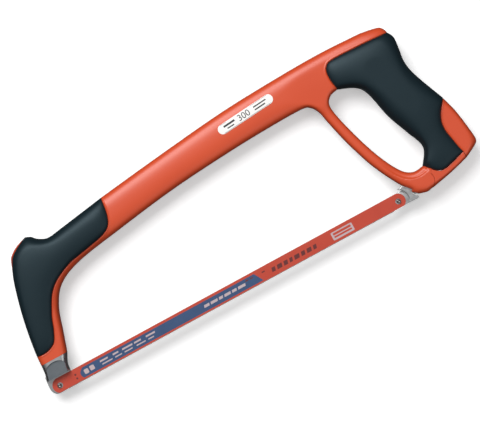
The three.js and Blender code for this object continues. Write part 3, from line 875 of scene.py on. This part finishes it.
lever_cover = crowned("lever_strip", [LEVER_LOOP], lever_height, 0)
lever_slot = [(327, -0.2), (333, 0), (342, 0.1), (346, 1.1), (358.6, 4.6), (358.6, 12), (327, 12)]
carve(
    lever_cover, slab("slot_tool", [lever_slot], -3.1, 3.1),
    *screw_tools(lever_screw_places, 2.0, -12, -6.7),
)
hand_over(lever_cover, "tension_lever", orange_nylon, "orange_nylon", "lever_cover")

# %% [markdown]
# ## Anvil, tang and pins
# The blade hangs between two cast ends. The anvil at the toe has a head as wide as the body,
# with a half-moon milled into its face, and a lower seat that the blade lies flat on. The tang
# at the other end has a shoulder round the blade's end, and slides on a link when the lever
# shuts. A pin in each end stands through the blade's hole.

# %% Cast ends
SHOULDER = 7.2  # underside of the anvil's head
ANVIL_TOP = 20.45  # just under the shells
SEAT = -0.6  # the faces that the blade lies on
PIN_R = 1.5


def recolour(piece, material, chosen):
    """A second finish on the faces whose middle, in the saw's millimetres, is chosen."""
    piece.data.materials.append(material)
    for face in piece.data.polygons:
        if chosen((face.center - ZERO) / MM):
            face.material_index = 1


beside_head = WHOLE[(WHOLE[:, 1] > SHOULDER) & (WHOLE[:, 1] < ANVIL_TOP) & (WHOLE[:, 0] < 30)]
head_loop = closed(
    [(-7.2, SHOULDER)], beside_head[beside_head[:, 0] < 0], [(-5.3, ANVIL_TOP), (17.4, ANVIL_TOP)],
    beside_head[beside_head[:, 0] > 0], [(12.9, SHOULDER)],
)
anvil_head = crowned("anvil", [head_loop], lambda xy: body_surface(xy) - 0.1)
anvil_seat = slab(
    "seat",
    [closed(
        [(12.8, 11), (10.5, -4.8)],
        smooth_run([(10.5, -4.8), (-3, -5.4), (-7, -3.2), (-8.4, 1), (-8, SHOULDER), (-7.6, 11)]),
    )],
    -5, SEAT, bevel=0.4,
)
anvil_neck = slab("neck", [closed([(-1.5, 12), (12.5, 12), (13, 44), (0.8, 44)])], -4.5, 4.5)
half_moon = slab(
    "moon",
    [closed(
        [(12.2, SHOULDER - 3), (12.6, 11.8)],
        smooth_run([(12.6, 11.8), (11.6, 16.4), (6.5, 18.7), (0.7, 18.3), (-3, 15.6), (-6, SHOULDER - 3)]),
    )],
    6.6, 12, bevel=0.3,
)
fuse(anvil_head, anvil_seat, anvil_neck)
carve(anvil_head, half_moon, slab("bore", [disc_loop(-PIN_SEAT, 0, PIN_R + 0.12)], -3.9, 3))
carve(anvil_head, slab("core_way", [closed([(-3, 24), (14, 24), (16, 50), (-2, 50)])], -2.8, 2.8))
hand_over(anvil_head, "frame", cast_steel, "cast_steel", "front_anvil")
recolour(anvil_head, milled_steel, lambda c: 6.5 < c.z < 7.0 and c.x > -6.6 and c.y < 18.4)

tang_shoulder = slab(
    "tang",
    [closed(
        arc(BLADE_SPAN, 0, 9, 64, -34, 26),
        [(316, -5), (316, -3.5)],
        smooth_run([(316, -3.5), (313.4, -1.3), (312, 1.4), (312.9, 3.2), (309.5, 6.1), (307.5, 9.3)]),
    )],
    -5, 3.4, bevel=0.3,
)
tang_seat = slab(
    "seat",
    [closed(
        [(311, -5), (311, 5), (308, 5.9)],
        smooth_run([(308, 5.9), (298, 5.7), (294, 3), (293, 0), (294.4, -3.4), (298, -5)]),
    )],
    -5, SEAT, bevel=0.3,
)
tang_shank = slab("shank", [closed([(309, 1.5), (318.9, 1.5), (318.9, 7.3), (309, 7.3)])], -2.5, 2.5)
fuse(tang_shoulder, tang_seat, tang_shank)
carve(
    tang_shoulder,
    slab("fork", [closed([(312.8, -1), (330, -1), (330, 10), (312.8, 10)])], -1.5, 1.5),
    slab("eye", [disc_loop(316, 4.2, 1.4)], -6, 6),
    slab("bore", [disc_loop(BLADE_SPAN + PIN_SEAT, 0, PIN_R + 0.12)], -3.9, 3),
)
hand_over(tang_shoulder, "tension_slide", cast_steel, "cast_steel", "rear_tang")


def spun(profile, x=0.0, y=0.0, steps=48):
    """Vertices and faces of (radius, height) pairs spun round a line through (x, y)."""
    angles = np.linspace(0, 2 * math.pi, steps, endpoint=False)
    rings = [
        np.column_stack([x + r * np.cos(angles), y + r * np.sin(angles), np.full(steps, z)])
        for r, z in profile
    ]
    last = (len(profile) - 1) * steps
    faces = [face for k in range(len(profile) - 1) for face in walls(k * steps, (k + 1) * steps, steps)]
    return np.vstack(rings), [*faces, tuple(range(steps))[::-1], tuple(range(last, last + steps))]


PIN_PROFILE = [
    (1.35, -3.6), (1.5, -3.4), (1.5, 1.7), (1.4, 1.98), (1.15, 2.15), (0.9, 2.2), (0.55, 2.05), (0.3, 1.95),
]
for end, x, body in (("front", -PIN_SEAT, "frame"), ("rear", BLADE_SPAN + PIN_SEAT, "tension_slide")):
    vertices, faces = spun(PIN_PROFILE, x)
    pin = add_object(f"blade_pin_{end}", metres(vertices), faces)
    hand_over(pin, body, turned_steel, "plain_steel", f"{end}_blade_pin")

# %% [markdown]
# ## Blade
# A 300 mm blade is 12 mm or so wide and 0.65 mm thick, punched at both ends. Its teeth are too
# many to draw: 24 to the inch, set from side to side in a wave so that the cut is wider than
# the strip. Geometry Nodes lays one tooth along the edge and moves each by its place in the
# wave.

# %% Blade strip
BLADE_LOW, BLADE_HIGH = -0.3, 0.35
BLADE_BACK, BLADE_EDGE = 6.2, -5.05  # the teeth stand below the edge
TOOTH_DEPTH = 0.72
TOOTH_PITCH = 25.4 / 24
END_R = 6.0

strip_loop = closed(
    arc(0, 0.2, END_R, 90, 241, 26),
    arc(BLADE_SPAN, 0.2, END_R, -61, 90, 26),
)
strip_loop[:, 1] = np.clip(strip_loop[:, 1], BLADE_EDGE, BLADE_BACK)
strip = slab(
    "blade_strip", [strip_loop, disc_loop(0, 0, 2.3)[::-1], disc_loop(BLADE_SPAN, 0, 2.3)[::-1]],
    BLADE_LOW, BLADE_HIGH, bevel=0.06, segments=1,
)
hand_over(strip, "blade", blade_paint, "painted_blade_steel", "blade")


# %% Geometry Nodes helpers
def node_group(name, inputs):
    """A new tree with a geometry input, the named inputs, and a geometry output."""
    tree = bpy.data.node_groups.new(name, "GeometryNodeTree")
    tree.interface.new_socket("Geometry", in_out="INPUT", socket_type="NodeSocketGeometry")
    tree.interface.new_socket("Geometry", in_out="OUTPUT", socket_type="NodeSocketGeometry")
    for label, kind in inputs.items():
        tree.interface.new_socket(label, in_out="INPUT", socket_type=kind)
    return tree, add(tree, "NodeGroupInput").outputs, add(tree, "NodeGroupOutput")


def grow_nodes(name, tree, values, start=()):
    """Runs the tree on a new object with these input values and keeps the result as its mesh."""
    mesh = bpy.data.meshes.new(name)
    mesh.from_pydata([tuple(p) for p in start], [], [])
    piece = link_object(name, mesh)
    modifier = piece.modifiers.new("nodes", "NODES")
    modifier.node_group = tree
    sockets = {item.name: item.identifier for item in tree.interface.items_tree if item.in_out == "INPUT"}
    for label, value in values.items():
        modifier[sockets[label]] = value
    keep_result(piece, modifier)
    finish_mesh(piece.data)
    return piece


def finish_tree(tree, out, geometry, material):
    real = add(tree, "GeometryNodeRealizeInstances", links={"Geometry": geometry})
    painted = add(tree, "GeometryNodeSetMaterial", links={"Geometry": real.outputs[0], "Material": material})
    tree.links.new(painted.outputs[0], out.inputs["Geometry"])


# %% Teeth
def tooth_mesh():
    """One tooth: a steep front, a sloping back and the strip's thickness."""
    half = (BLADE_HIGH - BLADE_LOW) / 2
    back = TOOTH_PITCH / 2
    side = [(-back, 0.12), (back, 0.12), (back, 0), (0.1, -TOOTH_DEPTH * 0.45),
            (-back + 0.12, -TOOTH_DEPTH), (-back + 0.03, -TOOTH_DEPTH * 0.9)]
    n = len(side)
    vertices = np.array([(x, y, z) for z in (-half, half) for x, y in side]) * MM
    return add_object("one_tooth", vertices, [tuple(range(n))[::-1], tuple(range(n, 2 * n)), *walls(0, n, n)])


def teeth_tree():
    tree, given, out = node_group("saw_teeth", {
        "Tooth": "NodeSocketObject", "Count": "NodeSocketInt", "Pitch": "NodeSocketFloat",
        "Start": "NodeSocketVector", "Set": "NodeSocketFloat", "Wave": "NodeSocketFloat",
        "Material": "NodeSocketMaterial",
    })
    pitch = add(tree, "ShaderNodeCombineXYZ", links={"X": given["Pitch"]})
    row = add(tree, "GeometryNodeMeshLine", links={
        "Count": given["Count"], "Start Location": given["Start"], "Offset": pitch.outputs[0],
    })
    place = add(tree, "GeometryNodeInputIndex")
    turn = add(tree, "ShaderNodeMath", {"operation": "DIVIDE"}, {0: place.outputs[0], 1: given["Wave"]})
    angle = add(tree, "ShaderNodeMath", {"operation": "MULTIPLY", 1: 2 * math.pi}, {0: turn.outputs[0]})
    wave = add(tree, "ShaderNodeMath", {"operation": "SINE"}, {0: angle.outputs[0]})
    lean = add(tree, "ShaderNodeMath", {"operation": "MULTIPLY"}, {0: wave.outputs[0], 1: given["Set"]})
    offset = add(tree, "ShaderNodeCombineXYZ", links={"Z": lean.outputs[0]})
    moved = add(tree, "GeometryNodeSetPosition", links={"Geometry": row.outputs[0], "Offset": offset.outputs[0]})
    tooth = add(tree, "GeometryNodeObjectInfo", links={"Object": given["Tooth"]})
    placed = add(tree, "GeometryNodeInstanceOnPoints", links={
        "Points": moved.outputs[0], "Instance": tooth.outputs["Geometry"],
    })
    finish_tree(tree, out, placed.outputs[0], given["Material"])
    return tree


ground_steel = finish(
    "ground_tooth_steel", ("#8d8480", "#a39a94"), 3, 0.3, 0.01, (0.3, 0.45), metallic=1.0,
)

one_tooth = tooth_mesh()
FIRST_TOOTH, LAST_TOOTH = 5.5, 294.5
teeth = grow_nodes("blade_teeth", teeth_tree(), {
    "Tooth": one_tooth, "Count": int((LAST_TOOTH - FIRST_TOOTH) / TOOTH_PITCH), "Pitch": TOOTH_PITCH * MM,
    "Start": tuple(metres((FIRST_TOOTH, BLADE_EDGE, (BLADE_HIGH + BLADE_LOW) / 2))), "Set": 0.16 * MM,
    "Wave": 8.0, "Material": ground_steel,
})
bpy.data.objects.remove(one_tooth)
hand_over(teeth, "blade", ground_steel, "painted_blade_steel")

# %% [markdown]
# ### Print on the blade
# The maker's panel is a blue band that is round at one end and slanted at the other. It
# carries rows of plain bars where such a blade has its wording. Further along are dark bars and
# a pale rounded badge. Each print is a film a few hundredths of a millimetre thick.

# %% Films
def film(name, loops, surface_height, low, high, step=1.6):
    """A thin sheet that lies on a surface, between two heights above it."""
    vertices, faces, count = [], [], 0
    for loop in loops:
        inner = fill_points(loop, (0.25,), step)
        flat, tri = triangles(np.vstack([loop, inner]) if len(inner) else loop, loop)
        base = surface_height(flat)
        n = len(flat)
        vertices += [np.column_stack([flat, base + high]), np.column_stack([flat, base + low])]
        faces += [tuple(int(i) + count for i in f) for f in tri]
        faces += [tuple(int(i) + count + n for i in f[::-1]) for f in tri]
        faces += walls(count, count + n, len(loop))
        count += 2 * n
    return add_object(name, metres(np.vstack(vertices)), faces)


def lying_flat(xy):
    return np.full(len(xy), BLADE_HIGH)


def bar(x0, x1, y, height, slant=0.0):
    h = height / 2
    shift = slant * h
    return np.array([(x0 - shift, y - h), (x1 - shift, y - h), (x1 + shift, y + h), (x0 + shift, y + h)])


def frame_loop(x0, x1, y0, y1, corner):
    """A rounded rectangle."""
    left, right, low, high = x0 + corner, x1 - corner, y0 + corner, y1 - corner
    middles = ((right, high), (left, high), (left, low), (right, low))
    return closed(*(arc(x, y, corner, 90 * k, 90 * k + 90, 6) for k, (x, y) in enumerate(middles)))


BAND_LOW, BAND_HIGH = -3.7, 4.1
BAND_FILM, PRINT_FILM = 0.025, 0.045  # tops of the two layers of print above the blade
band_loop = closed(
    smooth_run([(19.5, BAND_LOW), (18.2, -1.5), (18.6, 1.5), (21.5, BAND_HIGH)]),
    [(60, BAND_HIGH), (120, BAND_HIGH), (174, BAND_HIGH), (178.5, BAND_LOW), (120, BAND_LOW), (60, BAND_LOW)],
)
band = film("blade_band", [band_loop], lying_flat, 0.0, BAND_FILM, step=5)
hand_over(band, "blade", blue_ink, "painted_blade_steel")

bars = [frame_loop(21.5, 25.2, -1.9, 1.9, 0.9), frame_loop(26.6, 30.5, -1.5, 2.3, 0.9)]
start = 36.0
for upper, lower in ((7, 9), (5, 6), (9, 7), (6, 8), (8, 5)):
    bars.append(bar(start, start + upper, 1.5, 1.3, 0.3))
    bars.append(bar(start + 0.8, start + 0.8 + lower, -1.2, 0.9, 0.3))
    start += max(upper, lower + 0.8) + 1.6
start = 128.0
for length in (4.5, 6, 3.5, 5.5, 4, 6.5):
    bars.append(bar(start, start + length, 0.2, 2.1, 0.3))
    start += length + 1.3
bars_film = film("blade_bars", bars, lying_flat, BAND_FILM, PRINT_FILM, step=5)
hand_over(bars_film, "blade", pale_ink, "painted_blade_steel")

badge_vertices, badge_faces = slab_parts(
    [frame_loop(241.5, 260, -3.1, 3.4, 0.8), frame_loop(243, 258.5, -1.6, -0.2, 0.4)[::-1],
     frame_loop(243, 258.5, 0.6, 2.4, 0.4)[::-1]],
    BLADE_HIGH, BLADE_HIGH + BAND_FILM,
)
badge = add_object("blade_badge", metres(badge_vertices), badge_faces)
hand_over(badge, "blade", pale_ink, "painted_blade_steel")

dark_bars = []
start = 188.0
for length in (3, 4.2, 3.4, 2.6, 4.4, 3.2, 4.0, 2.8):
    dark_bars.append(bar(start, start + length, 0.1, 3.4, 0.25))
    start += length + 1.7
dark_bars += [bar(x, x + 2.6, 2.2, 1.0, 0.25) for x in (165.5, 169.5, 180.0)]
dark_bars += [disc_loop(14.3, y, 0.8, 16) for y in (-1.6, 1.6)]
dark_print = film("blade_dark_print", dark_bars, lying_flat, BAND_FILM, PRINT_FILM, step=5)
hand_over(dark_print, "blade", dark_ink, "painted_blade_steel")

# %% [markdown]
# ## Label
# A white film in the shape of a pill, on the flat of the spine. It bends a little with the
# surface. Its print is two thin lines, a size and a few bars.

# %% Label
LABEL_ENDS = ((206.7, 114.4), (248.5, 118.1))
LABEL_R = 3.9
LABEL_TOP, INK_TOP = 0.22, 0.24  # above the surface of the body


def pill(radius, steps=20):
    (ax, ay), (bx, by) = LABEL_ENDS
    lean = math.degrees(math.atan2(by - ay, bx - ax))
    return closed(
        arc(bx, by, radius, lean - 90, lean + 90, steps), arc(ax, ay, radius, lean + 90, lean + 270, steps),
    )


label = film("spine_label", [pill(LABEL_R)], body_surface, -0.02, LABEL_TOP)
hand_over(label, "frame", label_film, "label_film", "label_plate")


def along_label(u, v):
    """A point on the label, from its middle: along it and across it."""
    start, end = np.array(LABEL_ENDS[0]), np.array(LABEL_ENDS[1])
    way = (end - start) / np.linalg.norm(end - start)
    return (start + end) / 2 + np.outer(np.ravel(u), way) + np.outer(np.ravel(v), (-way[1], way[0]))


def label_bar(u0, u1, v, height):
    return along_label([u0, u1, u1, u0], [v - height / 2, v - height / 2, v + height / 2, v + height / 2])


def lettering(name, text, size, u, v):
    """Flat letters on the label, `size` millimetres high, from the plain built-in font."""
    curve = bpy.data.curves.new(name, "FONT")
    curve.body, curve.size, curve.align_x, curve.align_y = text, size, "CENTER", "CENTER"
    source = link_object(name + "_text", curve)
    bpy.context.view_layer.update()
    mesh = bpy.data.meshes.new_from_object(source.evaluated_get(bpy.context.evaluated_depsgraph_get()))
    bpy.data.objects.remove(source)
    flat = np.array([vertex.co[:2] for vertex in mesh.vertices])
    on_label = along_label(flat[:, 0] + u, flat[:, 1] + v)
    lifted = metres(np.column_stack([on_label, body_surface(on_label) + 0.235]))
    for vertex, point in zip(mesh.vertices, lifted):
        vertex.co = point
    return link_object(name, mesh)


black_ink = finish("label_ink_black", ("#17181a", "#242629"), 3, 0.5, 0.005, (0.4, 0.55), ior=1.5)

lines = [label_bar(-21.5, 21.5, v, 0.22) for v in (-3.45, 3.45)]
bars = [
    label_bar(-19.5, -9.5, 1.1, 1.5), label_bar(-17.5, -11.5, -1.5, 0.9),
    label_bar(8, 19.5, 1.2, 1.0), label_bar(8, 17.5, -1.2, 1.0),
]
for piece in (
    film("label_outline", lines, body_surface, LABEL_TOP, INK_TOP, step=2),
    lettering("label_size", "300", 7.2, -1.5, 0),
    film("label_bars", bars, body_surface, LABEL_TOP, INK_TOP, step=2),
):
    hand_over(piece, "frame", black_ink, "label_film")

# %% [markdown]
# ## Screws
# Eight screws close the body and two hold the lever's cover, all from the right side, so that
# the left side is clean. They are pan-headed with a cross recess. One screw is made once, and
# Geometry Nodes puts it at each place with its cross turned at random, as a driver leaves them.


# %% Screws
def screw_mesh(head, head_high, shank, length):
    """A pan-head screw with its head downwards and the top of its head at zero."""
    r = head
    profile = [
        (r * 0.55, 0.0), (r * 0.8, 0.12), (r * 0.95, 0.4), (r, 0.75), (r, head_high),
        (shank, head_high), (shank, length - 0.6), (shank * 0.5, length),
    ]
    vertices, faces = spun(profile, steps=40)
    screw = add_object("one_screw", vertices * MM, faces)
    for wide, deep in ((0.62, 0.16), (0.16, 0.62)):
        a, b = head * wide, head * deep
        depth = head * 0.5
        corners = [
            (sx * (a if z < 0 else a * 0.5) * MM, sy * (b if z < 0 else b * 0.5) * MM, z * MM)
            for z in (-0.2, depth) for sx, sy in ((-1, -1), (1, -1), (1, 1), (-1, 1))
        ]
        sides = [(0, 3, 2, 1), (4, 5, 6, 7), (0, 1, 5, 4), (1, 2, 6, 5), (2, 3, 7, 6), (3, 0, 4, 7)]
        combine(screw, add_object("recess", corners, sides), "DIFFERENCE")
    return screw


def screws_tree():
    tree, given, out = node_group("driven_screws", {
        "Screw": "NodeSocketObject", "Seed": "NodeSocketInt", "Material": "NodeSocketMaterial",
    })
    screw = add(tree, "GeometryNodeObjectInfo", links={"Object": given["Screw"]})
    spin = add(
        tree, "FunctionNodeRandomValue", {"data_type": "FLOAT", 2: 0.0, 3: math.pi}, {"Seed": given["Seed"]},
    )
    turn = add(tree, "ShaderNodeCombineXYZ", links={"Z": spin.outputs[1]})
    placed = add(tree, "GeometryNodeInstanceOnPoints", links={
        "Points": given["Geometry"], "Instance": screw.outputs["Geometry"], "Rotation": turn.outputs[0],
    })
    finish_tree(tree, out, placed.outputs[0], given["Material"])
    return tree


screws_nodes = screws_tree()


def drive_screws(name, nodes, places, screw, top, seed, body, material, slot):
    heads = [metres((x, y, top)) for x, y, _ in places]
    piece = grow_nodes(name, screws_nodes, {"Screw": screw, "Seed": seed, "Material": material}, start=heads)
    bpy.data.objects.remove(screw)
    hand_over(piece, body, material, slot, *nodes)


drive_screws(
    "body_screws", BODY_SCREWS, body_screw_places, screw_mesh(3.3, 2.4, 1.5, 14.0), -8.6, 3,
    "frame", black_oxide, "black_oxide_steel",
)
drive_screws(
    "lever_screws", LEVER_SCREWS, lever_screw_places, screw_mesh(1.7, 1.4, 0.9, 12.8), -8.4, 5,
    "tension_lever", zinc_plate, "zinc_steel",
)

# %% [markdown]
# ## What stays from the model
# The core, the brackets, the rivets and the parts inside the lever are stampings and turned
# pins, flat or round, so the CAD shapes are right. They only get their metal.

# %% Metal for the CAD pieces
INNER_METAL = {
    zinc_plate: (
        "foot_bracket_left", "foot_bracket_right", "tension_link", "lever_cheek_left", "lever_cheek_right",
    ),
    turned_steel: (
        "anvil_roll_pin_1", "anvil_roll_pin_2", "bracket_rivet_1", "bracket_rivet_2", "lever_pivot_pin",
        "link_pin", "tension_cam",
    ),
    black_oxide: ("steel_core",),
}
for material, names in INNER_METAL.items():
    for name in names:
        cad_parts[name].material_slots[0].material = material
